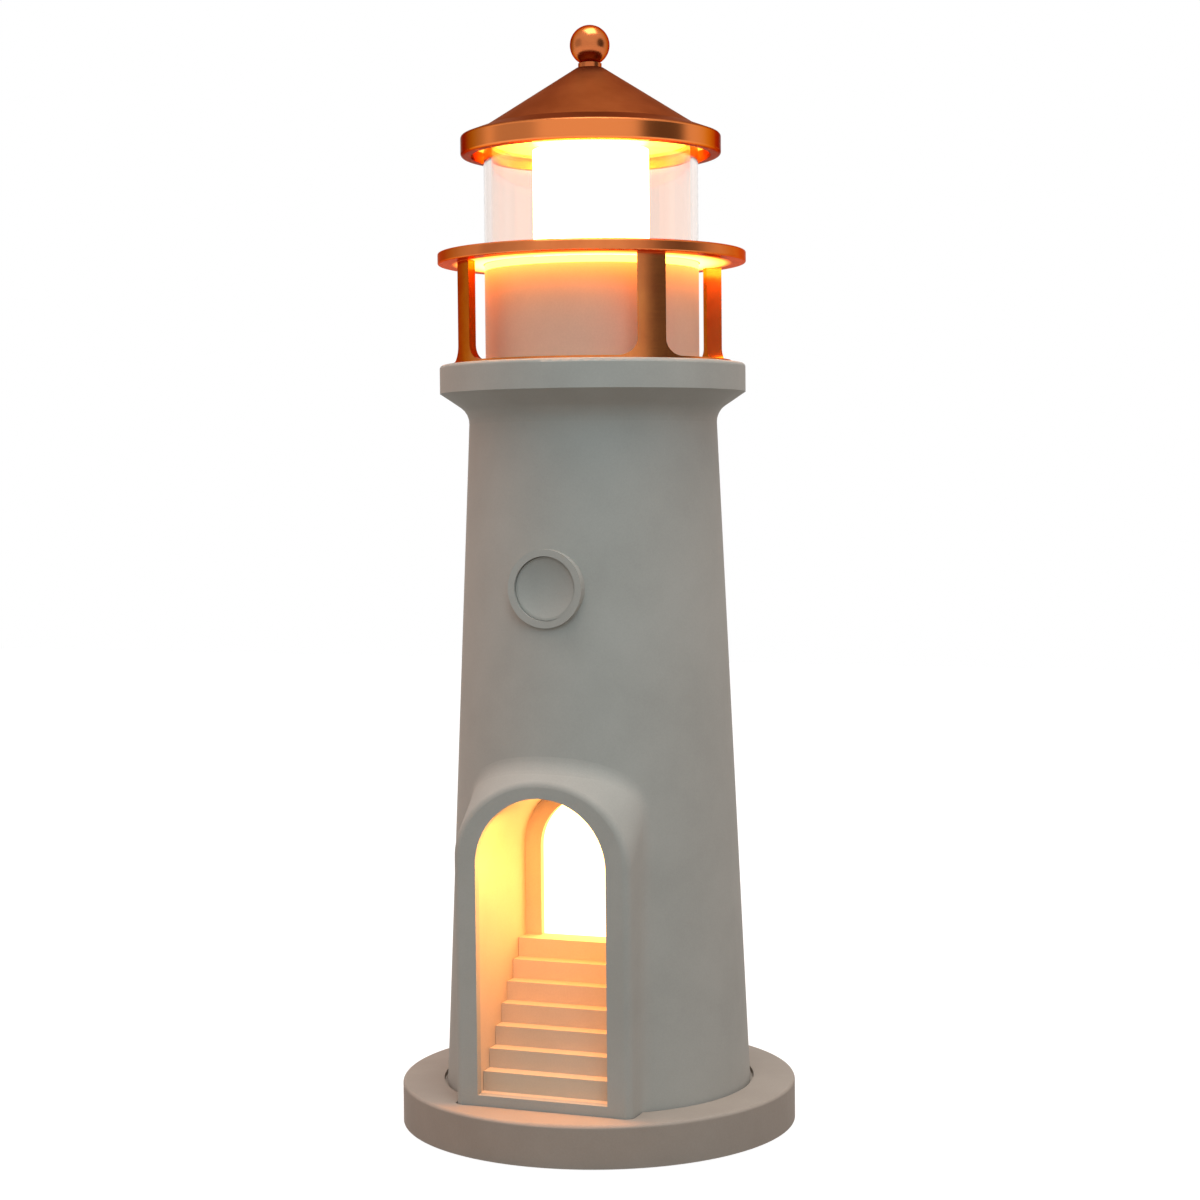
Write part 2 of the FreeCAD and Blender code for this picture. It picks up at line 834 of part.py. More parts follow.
# ---------------------------------------------------------------- gallery
def make_gallery():
    drum = turned(
        [
            ("drum_radius - drum_wall", "collar_top"),
            ("drum_radius", "collar_top"),
            ("drum_radius", "drum_top"),
            ("0", "drum_top"),
            ("0", "drum_top - drum_wall"),
            ("drum_radius - drum_wall", "drum_top - drum_wall"),
        ]
    )
    bosses = [
        cylinder("drum_boss_radius", "drum_tall - drum_wall / 2", (x, y, "collar_top"))
        for x, y in DRUM_SCREWS
    ]
    holes = [cylinder("screw_radius", "screw_bite", (x, y, "collar_top")) for x, y in DRUM_SCREWS]
    cut(fuse(drum, *bosses), *holes, node="lantern_drum")
    group(
        *[screw(x, y, "deck_bottom - screw_head") for x, y in DRUM_SCREWS],
        node="drum_screws",
    )

    ring = cylinder("cage_radius", "plate_bottom - collar_top", ("0", "0", "collar_top"))
    bore = cylinder("cage_radius - cage_wall", "base_radius", ("0", "0", "collar_top - through"))
    sill = "collar_top + cage_sill"
    tall = "plate_bottom - collar_top"
    windows = []
    for turn in (0, 90):
        half = "window_half_width"
        upper = box(
            f"2 * {half}",
            "2 * base_radius",
            tall,
            (f"-{half}", "-base_radius", f"{sill} + window_corner"),
        )
        lower = box(
            f"2 * ({half} - window_corner)",
            "2 * base_radius",
            tall,
            (f"-{half} + window_corner", "-base_radius", sill),
        )
        corners = [
            cylinder(
                "window_corner",
                "2 * base_radius",
                (f"{side} * ({half} - window_corner)", "-base_radius", f"{sill} + window_corner"),
                along="y",
            )
            for side in (-1, 1)
        ]
        window = fuse(upper, lower, *corners)
        window.Placement.Rotation = FreeCAD.Rotation(V(0, 0, 1), turn)
        windows.append(window)
    cut(ring, bore, *windows, node="gallery_cage")

    plate = turned(
        [
            ("plate_inner", "plate_bottom"),
            ("plate_radius", "plate_bottom"),
            ("plate_radius", "plate_top"),
            ("plate_inner", "plate_top"),
        ]
    )
    radius = size("plate_radius")
    top, low = circle_at(radius, size("plate_top")), circle_at(radius, size("plate_bottom"))
    rounded(plate, size("plate_round"), lambda edge: top(edge) or low(edge), node="gallery_plate")


# ---------------------------------------------------------------- lantern
def make_lantern():
    turned(
        [
            ("light_ring_inner", "drum_top"),
            ("drum_radius", "drum_top"),
            ("drum_radius", "plate_bottom"),
            ("light_ring_inner", "plate_bottom"),
        ],
        node="light_ring",
    )
    turned(
        [
            ("glass_inner", "plate_bottom"),
            ("drum_radius", "plate_bottom"),
            ("drum_radius", "glass_top"),
            ("glass_inner", "glass_top"),
        ],
        node="lantern_glass",
    )
    turned(
        [
            ("diffuser_radius - diffuser_wall", "drum_top"),
            ("diffuser_radius", "drum_top"),
            ("diffuser_radius", "diffuser_top"),
            ("0", "diffuser_top"),
            ("0", "diffuser_top - diffuser_wall"),
            ("diffuser_radius - diffuser_wall", "diffuser_top - diffuser_wall"),
        ],
        node="lamp_diffuser",
    )
    cylinder("lamp_board_radius", "board_thick", ("0", "0", "drum_top"), node="lamp_board")
    turned(
        [
            ("post_bore", "post_bottom"),
            ("post_radius", "post_bottom"),
            ("post_radius", "post_top"),
            ("post_bore", "post_top"),
        ],
        node="lamp_post",
    )
    strips = []
    corner = V(-size("strip_width") / 2, size("post_radius"), size("post_bottom + strip_inset"))
    for turn in (0, 90, 180, 270):
        strip = box("strip_width", "strip_thick", "post_top - post_bottom - 2 * strip_inset", None)
        facing = FreeCAD.Rotation(V(0, 0, 1), turn)
        strip.Placement = FreeCAD.Placement(facing.multVec(corner), facing)
        strips.append(strip)
    group(*strips, node="lamp_strips")


# ---------------------------------------------------------------- roof
def make_roof():
    cap = turned(
        [
            ("0", "roof_peak"),
            ("roof_peak_radius", "roof_peak"),
            ("roof_shoulder_radius", "roof_shoulder"),
            ("roof_radius", "roof_rim_top"),
            ("roof_radius", "roof_rim_bottom"),
            ("roof_inner", "roof_rim_bottom"),
            ("roof_inner", "liner_edge_top + roof_gap"),
            ("roof_shoulder_radius", "roof_shoulder - roof_skin"),
            ("roof_peak_radius", "roof_peak - roof_crown"),
            ("0", "roof_peak - roof_crown"),
        ]
    )
    bore = cylinder("stud_radius", "stud_bite + through", ("0", "0", "stud_bottom"))
    cap = cut(cap, bore)
    rim_low = circle_at(size("roof_radius"), size("roof_rim_bottom"))
    rim_high = circle_at(size("roof_radius"), size("roof_rim_top"))
    rounded(cap, size("roof_round"), lambda edge: rim_low(edge) or rim_high(edge), node="roof_cap")

    turned(
        [
            ("0", "liner_plate_bottom"),
            ("glass_inner - groove_gap", "liner_plate_bottom"),
            ("glass_inner - groove_gap", "liner_plate_bottom + glass_groove"),
            ("drum_radius + groove_gap", "liner_plate_bottom + glass_groove"),
            ("drum_radius + groove_gap", "liner_plate_bottom"),
            ("roof_inner", "liner_plate_bottom"),
            ("roof_inner", "liner_edge_top"),
            ("roof_inner - liner_bevel", "liner_plate_top"),
            ("0", "liner_plate_top"),
        ],
        node="roof_liner",
    )

    ferrule = cylinder("ferrule_radius", "ferrule_tall", ("0", "0", "roof_peak"))
    hole = cylinder("stud_radius", "ferrule_tall + 2 * through", ("0", "0", "roof_peak - through"))
    cut(ferrule, hole, node="finial_ferrule")

    ball = sphere("ball_radius", ("0", "0", "ball_centre"))
    below = cylinder("2 * ball_radius", "2 * ball_radius", ("0", "0", "ferrule_top - 2 * ball_radius"))
    blind = cylinder("stud_radius", "stud_hold + through", ("0", "0", "ferrule_top - through"))
    neck = cylinder("ball_neck_radius", "ball_neck", ("0", "0", "ferrule_top"))
    cut(fuse(ball, neck), below, blind, node="finial_ball")
    stud = "stud_bite + ferrule_tall + stud_hold"
    cylinder("stud_radius", stud, ("0", "0", "stud_bottom"), node="finial_stud")


# ---------------------------------------------------------------- power
def make_power():
    cylinder(
        "battery_radius",
        "battery_length",
        ("0", "battery_distance", "battery_bottom"),
        node="battery",
    )
    half = "holder_half_width"
    rear = "battery_distance + battery_radius"
    depth = "2 * battery_radius + holder_wall"
    tall = "battery_length + 2 * (holder_wall + battery_gap)"
    front = "battery_distance - battery_radius"
    back = box(f"2 * {half}", "holder_wall", tall, (f"-{half}", rear, "foot"))
    ends = [
        box(f"2 * {half}", depth, "holder_wall", (f"-{half}", front, z))
        for z in ("foot", f"foot + {tall} - holder_wall")
    ]
    fuse(back, *ends, node="battery_holder")

    board = box(
        "2 * control_half_width",
        "control_length",
        "board_thick",
        ("-control_half_width", "control_front", "cover_top"),
    )
    part_front = "control_front + control_part_front"
    chip = box(
        "control_chip",
        "control_chip",
        "control_chip_tall",
        ("control_chip_side - control_chip / 2", part_front, "control_top"),
    )
    coil = box(
        "control_coil",
        "control_coil",
        "control_coil_tall",
        ("-control_coil_side - control_coil / 2", part_front, "control_top"),
    )
    fuse(board, chip, coil, node="control_board")

    shell = box(
        "2 * socket_half_width",
        "socket_depth",
        "socket_tall",
        ("-socket_half_width", "socket_rear", "port_middle - socket_tall / 2"),
    )
    mouth = box(
        "2 * (socket_half_width - socket_skin)",
        "socket_depth",
        "socket_tall - 2 * socket_skin",
        (
            "-socket_half_width + socket_skin",
            "socket_rear + through",
            "port_middle - socket_tall / 2 + socket_skin",
        ),
    )
    tongue = box(
        "2 * tongue_half_width",
        "socket_depth - through",
        "tongue_thick",
        ("-tongue_half_width", "socket_rear", "port_middle - tongue_thick / 2"),
    )
    fuse(cut(shell, mouth), tongue, node="charge_socket")

    flap = box(
        "2 * (port_half_width - port_clear)",
        "flap_thick",
        "2 * (port_half_tall - port_clear)",
        (
            "-port_half_width + port_clear",
            "flap_rear",
            "port_middle - port_half_tall + port_clear",
        ),
    )
    plug = box(
        "2 * plug_half_width",
        "plug_length",
        "2 * plug_half_tall",
        (
            "-plug_half_width",
            "flap_rear - plug_length",
            "port_middle - plug_half_tall",
        ),
    )
    fuse(flap, plug, node="port_flap")

    cylinder(
        "cable_radius",
        "drum_top - drum_wall - control_top",
        ("cable_side", "cable_rear", "control_top"),
        node="lamp_cable",
    )
    under_deck = ("cable_side", "cable_rear", "deck_bottom - grommet_flange")
    sleeve = cylinder("cable_radius + grommet_wall", "tower_deck + grommet_flange", under_deck)
    flange = cylinder("cable_radius + 2 * grommet_wall", "grommet_flange", under_deck)
    way = cylinder(
        "cable_radius", "drum_tall", ("cable_side", "cable_rear", "deck_bottom - drum_tall / 2")
    )
    cut(fuse(sleeve, flange), way, node="cable_grommet")


def check_and_write():
    doc.recompute()
    for obj in doc.Objects:
        bad = {"Invalid", "Error"} & set(obj.State)
        if bad:
            raise RuntimeError(f"{obj.Name} ({obj.Label}) is {bad}")
    os.makedirs("parts", exist_ok=True)
    for node, obj in made.items():
        shape = obj.Shape
        if shape.isNull() or not shape.isValid() or not shape.Solids:
            raise RuntimeError(f"{node} has no valid solid")
        print(f"{node}: {len(shape.Solids)} solid(s), {shape.Volume:.1f} mm3")
        shape.exportStep(f"parts/{node}.step")


make_base()
make_tower()
make_niche()
make_button()
make_gallery()
make_lantern()
make_roof()
make_power()
check_and_write()
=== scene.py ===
# %% [markdown]
# # A lighthouse lamp, dressed
# The construction comes packed from the workshop: every piece is already in its place and at its real size.
# This lesson gives each piece the finish that it has on the real lamp, lights it, and photographs it.

# %% Load the frame
import json
import math

import bmesh
import bpy
from mathutils import Matrix, Vector


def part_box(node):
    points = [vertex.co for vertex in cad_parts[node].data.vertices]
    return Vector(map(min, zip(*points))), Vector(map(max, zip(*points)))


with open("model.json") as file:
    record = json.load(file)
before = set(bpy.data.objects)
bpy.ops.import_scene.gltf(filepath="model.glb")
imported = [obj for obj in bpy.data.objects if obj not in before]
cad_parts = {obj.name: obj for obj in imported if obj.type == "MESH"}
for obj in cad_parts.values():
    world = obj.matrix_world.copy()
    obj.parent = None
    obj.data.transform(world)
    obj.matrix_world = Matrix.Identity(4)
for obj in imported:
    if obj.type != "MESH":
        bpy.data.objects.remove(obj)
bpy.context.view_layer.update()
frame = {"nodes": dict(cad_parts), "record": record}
nodes = frame["nodes"]
MM = 0.001


# %% [markdown]
# ## Writing a material
# A finish is a small network of nodes. Two helpers keep it readable: one turns the hex colour that a person
# would pick into the linear numbers that light works in, and one adds a node with its settings and links.

# %% Two helpers
def linear(hex_colour):
    """An sRGB hex colour as the linear colour that a shader needs."""
    parts = [int(hex_colour[n : n + 2], 16) / 255 for n in (1, 3, 5)]
    return (*[c / 12.92 if c <= 0.04045 else ((c + 0.055) / 1.055) ** 2.4 for c in parts], 1.0)


def add(material, kind, settings=None, **sockets):
    """Add one node. A socket's value is a plain value, or (node, output name) for a link."""
    node = material.node_tree.nodes.new("ShaderNode" + kind)
    for name, value in (settings or {}).items():
        setattr(node, name, value)
    for name, value in sockets.items():
        found = next(s for s in node.inputs if s.name.replace(" ", "_") == name and s.enabled)
        if isinstance(value, tuple) and hasattr(value[0], "outputs"):
            output = next(s for s in value[0].outputs if s.name == value[1] and s.enabled)
            material.node_tree.links.new(output, found)
        else:
            found.default_value = value
    return node


def new_material(name, **shader_values):
    """A material with one main shader, its fixed values set on the shader's own sockets."""
    material = bpy.data.materials.new(name)
    material.use_nodes = True
    material.node_tree.nodes.clear()
    shader = add(material, "BsdfPrincipled", **shader_values)
    add(material, "OutputMaterial", Surface=(shader, "BSDF"))
    return material, shader


def connect(material, node, output, shader, socket):
    """Link a node's output to a socket of the main shader."""
    material.node_tree.links.new(node.outputs[output], shader.inputs[socket])


def per_metre(size_mm):
    """The noise scale at which one blob is that many millimetres across."""
    return 1 / (size_mm * MM)


print("mid grey in linear light:", round(linear("#808080")[0], 3))


# %% [markdown]
# ## The resin of the tower
# The body is cast from a mineral-filled resin and left matte, so it looks like unglazed stoneware: no
# gloss, a very fine sandy tooth, and faint cloudy shifts of tone where the filler settled. The clouds are
# a couple of centimetres across. The real grains are about 0.25 mm, too fine for the picture, so they are
# drawn 0.45 mm wide. The base is drawn a darker, browner grey and the drum a pale peach. The niche's liner
# and stairs are drawn paler than the tower: painted light from the glowing door, and the paler resin also
# bounces more of the door's real light round the niche.

# %% Cast resin
RESIN = "#9f9f98"
RESIN_PALE = "#a7a7a0"
CLOUD_MM = 24
GRAIN_MM = 0.45
RIPPLE_MM = 6


def cast_resin(name, colour=RESIN, pale=RESIN_PALE):
    material, shader = new_material(name, Roughness=0.78, IOR=1.5)
    place = add(material, "TexCoord")
    clouds = add(
        material, "TexNoise", Vector=(place, "Object"), Scale=per_metre(CLOUD_MM), Detail=5.0, Roughness=0.6
    )
    tint = add(material, "ValToRGB", Fac=(clouds, "Fac"))
    tint.color_ramp.elements[0].position = 0.35
    tint.color_ramp.elements[0].color = linear(colour)
    tint.color_ramp.elements[1].position = 0.68
    tint.color_ramp.elements[1].color = linear(pale)
    grain = add(
        material, "TexNoise", Vector=(place, "Object"), Scale=per_metre(GRAIN_MM), Detail=3.0, Roughness=0.55
    )
    speck = add(
        material, "MapRange", Value=(grain, "Fac"), From_Min=0.3, From_Max=0.7, To_Min=0.965, To_Max=1.025
    )
    flecked = add(
        material,
        "Mix",
        {"data_type": "RGBA", "blend_type": "MULTIPLY"},
        Factor=1.0,
        A=(tint, "Color"),
        B=(speck, "Result"),
    )
    connect(material, flecked, 2, shader, "Base Color")
    tooth = add(material, "Bump", Strength=0.22, Distance=0.06 * MM, Height=(grain, "Fac"))
    ripple = add(
        material, "TexNoise", Vector=(place, "Object"), Scale=per_metre(RIPPLE_MM), Detail=2.0, Roughness=0.5
    )
    waves = add(
        material, "Bump", Strength=0.2, Distance=0.05 * MM, Height=(ripple, "Fac"), Normal=(tooth, "Normal")
    )
    connect(material, waves, "Normal", shader, "Normal")
    return material


tower_resin = cast_resin("cast_resin_matte")
base_resin = cast_resin("cast_resin_base", colour="#948a7f", pale="#9c9287")
drum_resin = cast_resin("cast_resin_drum", colour="#c9b09c", pale="#d0b8a4")
# Painted light: the niche's liner and stairs get a paler resin than the tower, standing in for the door's
# glow.
niche_resin_painted_light = cast_resin("cast_resin_niche", colour="#c0b19b", pale="#c7b8a3")
print("resin grains per metre:", round(per_metre(GRAIN_MM)))


# %% [markdown]
# ## Copper-coloured anodised aluminium
# The roof, the gallery and the finial are turned from aluminium and anodised a copper tone. A lathe
# leaves rings about 0.1 mm apart, which stretch each highlight into an arc. They are drawn 0.35 mm apart
# here, because the real ones are too fine for the picture. A metal keeps the default IOR: its colour is
# its base colour.

# %% Turned copper tone
COPPER = "#d98448"
COPPER_DEEP = "#c87240"
LATHE_MM = 0.35
BLOTCH_MM = 9


def turned_copper(name, direction, colour=COPPER, deep=COPPER_DEEP, roughness=0.27):
    """direction is what the lathe's rings follow: 'radius' on level faces and cones, 'height' on rims."""
    material, shader = new_material(
        name, Metallic=1.0, Roughness=roughness, Anisotropic=0.35, Specular_Tint=linear(deep)
    )
    place = add(material, "TexCoord")
    split = add(material, "SeparateXYZ", Vector=(place, "Object"))
    if direction == "radius":
        flat = add(material, "CombineXYZ", X=(split, "X"), Y=(split, "Y"))
        along = add(material, "VectorMath", {"operation": "LENGTH"}, Vector=(flat, "Vector"))
        line = add(material, "CombineXYZ", X=(along, "Value"))
    else:
        line = add(material, "CombineXYZ", X=(split, "Z"))
    rings = add(
        material, "TexNoise", Vector=(line, "Vector"), Scale=per_metre(LATHE_MM), Detail=4.0, Roughness=0.7
    )
    blotch = add(
        material, "TexNoise", Vector=(place, "Object"), Scale=per_metre(BLOTCH_MM), Detail=4.0, Roughness=0.6
    )
    tint = add(material, "ValToRGB", Fac=(blotch, "Fac"))
    tint.color_ramp.elements[0].position = 0.32
    tint.color_ramp.elements[0].color = linear(deep)
    tint.color_ramp.elements[1].position = 0.66
    tint.color_ramp.elements[1].color = linear(colour)
    connect(material, tint, "Color", shader, "Base Color")
    worn = add(
        material,
        "MapRange",
        Value=(rings, "Fac"),
        From_Min=0.3,
        From_Max=0.7,
        To_Min=roughness - 0.05,
        To_Max=roughness + 0.05,
    )
    connect(material, worn, "Result", shader, "Roughness")
    relief = add(material, "Bump", Strength=0.1, Distance=0.02 * MM, Height=(rings, "Fac"))
    connect(material, relief, "Normal", shader, "Normal")
    return material


copper_radial = turned_copper(
    "anodised_copper_tone_turned", "radius", colour="#93613f", deep="#875638", roughness=0.38
)
copper_rim = turned_copper("anodised_copper_tone_rim", "height", roughness=0.22)
copper_ball = turned_copper(
    "anodised_copper_tone_ball", "height", colour="#cc7443", deep="#b56036", roughness=0.22
)
print("lathe rings per metre:", round(per_metre(LATHE_MM)))


# %% [markdown]
# The roof is one piece, but its rim was polished after turning and its cone left satin, so one material
# changes from the one finish to the other at the height of the rim.

# %% Roof: satin cone, polished rim
RIM_COPPER = "#e58246"
RIM_ROUGHNESS = 0.2
rim_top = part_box("roof_cap")[0].z + 5.0 * MM


def polished_below(material, height, colour, roughness):
    """Give a material another colour and roughness below a height."""
    shader = next(n for n in material.node_tree.nodes if n.bl_idname == "ShaderNodeBsdfPrincipled")
    place = add(material, "TexCoord")
    split = add(material, "SeparateXYZ", Vector=(place, "Object"))
    low = add(
        material,
        "MapRange",
        Value=(split, "Z"),
        From_Min=height - 0.2 * MM,
        From_Max=height + 0.2 * MM,
        To_Min=1.0,
        To_Max=0.0,
    )
    for socket, value, kind in (("Base Color", linear(colour), "RGBA"), ("Roughness", roughness, "FLOAT")):
        before = shader.inputs[socket].links[0].from_socket
        mixed = add(material, "Mix", {"data_type": kind}, Factor=(low, "Result"), B=value)
        target = next(i for i in mixed.inputs if i.name == "A" and i.enabled)
        material.node_tree.links.new(before, target)
        result = next(o for o in mixed.outputs if o.enabled)
        material.node_tree.links.new(result, shader.inputs[socket])
    return material


copper_roof = polished_below(
    turned_copper("anodised_copper_tone_roof", "radius", colour="#955b39", deep="#895232", roughness=0.42),
    rim_top,
    RIM_COPPER,
    RIM_ROUGHNESS,
)
print("top of the polished rim in mm:", round(rim_top / MM, 1))


# %% [markdown]
# ## The lantern's clear tube
# The tube is clear glass, 2 mm thick, with the faintest peach tint. Light from the lamp has to leave
# through it, so shadow rays pass straight through, as they nearly do through thin real glass. All other
# rays see its reflections and its bright edges.

# %% Clear glass
def clear_glass():
    material = bpy.data.materials.new("clear_glass_tube")
    material.use_nodes = True
    material.node_tree.nodes.clear()
    shader = add(
        material,
        "BsdfPrincipled",
        Base_Color=linear("#fdeee6"),
        Roughness=0.02,
        IOR=1.49,
        Transmission_Weight=1.0,
    )
    clear = add(material, "BsdfTransparent", Color=linear("#fffaf2"))
    rays = add(material, "LightPath")
    mixed = add(material, "MixShader", Fac=(rays, "Is Shadow Ray"))
    tree = material.node_tree
    tree.links.new(shader.outputs["BSDF"], mixed.inputs[1])
    tree.links.new(clear.outputs["BSDF"], mixed.inputs[2])
    add(material, "OutputMaterial", Surface=(mixed, "Shader"))
    return material


glass = clear_glass()
print("glass nodes:", len(glass.node_tree.nodes))


# %% [markdown]
# ## Opal plastic that glows
# The lamp, the door and the ring under the gallery are opal acrylic lit from behind. Each gives off warm
# light: strong enough to look white or yellow itself, while what it falls on shows the colour. The
# frosting is moulded into the surface, about 0.4 mm from bump to bump.

# %% Opal, lit from inside
WARM_LIGHT = "#ffc474"
AMBER_LIGHT = "#ff9a3a"
LAMP_LIGHT = "#ffd98c"
FROST_MM = 0.4


def lit_opal(name, colour, strength, light=WARM_LIGHT):
    material, shader = new_material(
        name,
        Base_Color=linear(colour),
        Roughness=0.45,
        Emission_Color=linear(light),
        Emission_Strength=strength,
    )
    place = add(material, "TexCoord")
    frost = add(
        material, "TexNoise", Vector=(place, "Object"), Scale=per_metre(FROST_MM), Detail=2.0, Roughness=0.5
    )
    relief = add(material, "Bump", Strength=0.1, Distance=0.03 * MM, Height=(frost, "Fac"))
    connect(material, relief, "Normal", shader, "Normal")
    return material


lamp_glow = lit_opal("opal_acrylic_lamp", "#fff6e6", 22.0, LAMP_LIGHT)
door_glow = lit_opal("opal_acrylic_door", "#fff3df", 6.2)
ring_glow = lit_opal("opal_acrylic_ring", "#ffe2ae", 6.0, AMBER_LIGHT)
print("glowing pieces: lamp, door and ring")


# %% [markdown]
# The gallery's ring hangs just over the glowing ring, so its underside is flooded with light near the
# drum and stays dark at its edge. That spill is real light for the drum and the posts, so it is drawn as
# a glow on the underside that fades outwards.

# %% Lit underside of the gallery ring
spill_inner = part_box("lantern_drum")[1].x + 0.3 * MM
spill_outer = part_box("gallery_plate")[1].x - 3.3 * MM
SPILL_STRENGTH = 17.0


def lit_underside(material):
    """Add a glow to the faces that look down, fading from the drum outwards."""
    shader = next(n for n in material.node_tree.nodes if n.bl_idname == "ShaderNodeBsdfPrincipled")
    place = add(material, "TexCoord")
    split = add(material, "SeparateXYZ", Vector=(place, "Object"))
    flat = add(material, "CombineXYZ", X=(split, "X"), Y=(split, "Y"))
    reach = add(material, "VectorMath", {"operation": "LENGTH"}, Vector=(flat, "Vector"))
    fade = add(
        material,
        "MapRange",
        {"interpolation_type": "SMOOTHSTEP"},
        Value=(reach, "Value"),
        From_Min=spill_inner,
        From_Max=spill_outer,
        To_Min=SPILL_STRENGTH,
        To_Max=0.0,
    )
    facing = add(material, "SeparateXYZ", Vector=(add(material, "NewGeometry"), "Normal"))
    under = add(
        material,
        "MapRange",
        Value=(facing, "Z"),
        From_Min=-0.9,
        From_Max=-0.6,
        To_Min=1.0,
        To_Max=0.0,
    )
    glow = add(material, "Math", {"operation": "MULTIPLY"})
    material.node_tree.links.new(fade.outputs["Result"], glow.inputs[0])
    material.node_tree.links.new(under.outputs["Result"], glow.inputs[1])
    shader.inputs["Emission Color"].default_value = linear(AMBER_LIGHT)
    connect(material, glow, "Value", shader, "Emission Strength")
    return material


copper_lit = lit_underside(
    turned_copper(
        "anodised_copper_tone_lit_below", "radius", colour="#e08048", deep="#d27240", roughness=0.3
    )
)
print("spill of light in mm:", round(spill_inner / MM, 1), "to", round(spill_outer / MM, 1))


# %% [markdown]
# ## The pieces that are seen from below or inside
# Rubber, moulded plastic, steel and circuit board: each gets its own tooth and gloss, so that the
# underside and an opened lamp hold up too. The roof's underside is satin and throws the lamp's light back
# down; its pale gold colour is painted light, the yellow of the lamp's light on it. The construction says
# which finish each piece has, and a few pieces have one of their own.

# %% Workshop finishes
def moulded(name, colour, roughness, grain_mm=0.6, tooth_mm=0.04, metallic=0.0):
    material, shader = new_material(name, Roughness=roughness, Metallic=metallic)
    place = add(material, "TexCoord")
    grain = add(
        material, "TexNoise", Vector=(place, "Object"), Scale=per_metre(grain_mm), Detail=3.0, Roughness=0.6
    )
    shade = add(
        material, "MapRange", Value=(grain, "Fac"), From_Min=0.3, From_Max=0.7, To_Min=0.9, To_Max=1.06
    )
    tone = add(
        material,
        "Mix",
        {"data_type": "RGBA", "blend_type": "MULTIPLY"},
        Factor=1.0,
        A=linear(colour),
        B=(shade, "Result"),
    )
    connect(material, tone, 2, shader, "Base Color")
    relief = add(material, "Bump", Strength=0.3, Distance=tooth_mm * MM, Height=(grain, "Fac"))
    connect(material, relief, "Normal", shader, "Normal")
    return material


# Painted light: the liner's pale gold stands in for the yellow of the lamp's light on it; the lamp lights it
# as well.
lamp_yellow_painted_light = moulded("satin_gold_lacquer", "#ffe070", 0.45)
FINISHES = {
    "pad_rubber": moulded("foam_rubber_pad", "#1d1c1b", 0.9, 0.8, 0.12),
    "cover_plastic": moulded("moulded_abs_cover", "#4b4844", 0.6),
    "steel_screw": moulded("zinc_plated_steel", "#b9babb", 0.32, 0.3, 0.01, 1.0),
    "ballast_steel": moulded("stamped_mild_steel", "#8b8c8d", 0.45, 0.5, 0.02, 1.0),
    "circuit_board": moulded("solder_masked_laminate", "#1d5b38", 0.4, 0.5, 0.02),
    "led_chip": moulded("led_phosphor", "#f0cf6a", 0.35, 0.3, 0.02),
    "black_plastic": moulded("moulded_black_nylon", "#1b1b1d", 0.5, 0.4),
    "battery_wrap": moulded("shrink_sleeve_pvc", "#2b5b93", 0.25, 1.2, 0.02),
    "socket_steel": moulded("drawn_nickel_shell", "#c2c1bd", 0.28, 0.3, 0.01, 1.0),
    "port_silicone": moulded("moulded_silicone", "#8d877e", 0.7, 0.5),
    "cable_sleeve": moulded("pvc_sleeve", "#e4dfd4", 0.45, 0.6, 0.02),
    "post_aluminium": moulded("drawn_aluminium_tube", "#cfd0d1", 0.35, 0.4, 0.01, 1.0),
    "light_frame": moulded("moulded_white_abs", "#ece9e3", 0.5),
    "body_resin": tower_resin,
    "copper_trim": copper_radial,
    "lantern_glass": glass,
    "lamp_opal": lamp_glow,
    "door_opal": door_glow,
    "ring_opal": ring_glow,
}
OWN_FINISH = {
    "base_disc": base_resin,
    "niche_liner": niche_resin_painted_light,
    "stair_block": niche_resin_painted_light,
    "roof_cap": copper_roof,
    "roof_liner": lamp_yellow_painted_light,
    "lantern_drum": drum_resin,
    "gallery_cage": copper_rim,
    "gallery_plate": copper_lit,
    "finial_ball": copper_ball,
    "finial_ferrule": copper_ball,
}
for entry in frame["record"]["subparts"]:
    node = nodes[entry["node"]]
    finish = OWN_FINISH.get(entry["node"], FINISHES[entry["material_slot"]])
    node.data.materials.clear()
    node.data.materials.append(finish)
print("finishes:", len(FINISHES) + len(OWN_FINISH))


# %% [markdown]
# ## The floor and the white room
# The photograph stands on plain white. The world looks white to the camera, to mirrors and through glass,
# but lights the lamp only softly. The floor does the same and keeps the shadow of the base. Dark cards
# stand round it in the mirrored world alone: they draw the dark bands on the polished copper.

# %% Floor and world
FLOOR_HALF = 1.5
FLOOR_GLOW = 0.88


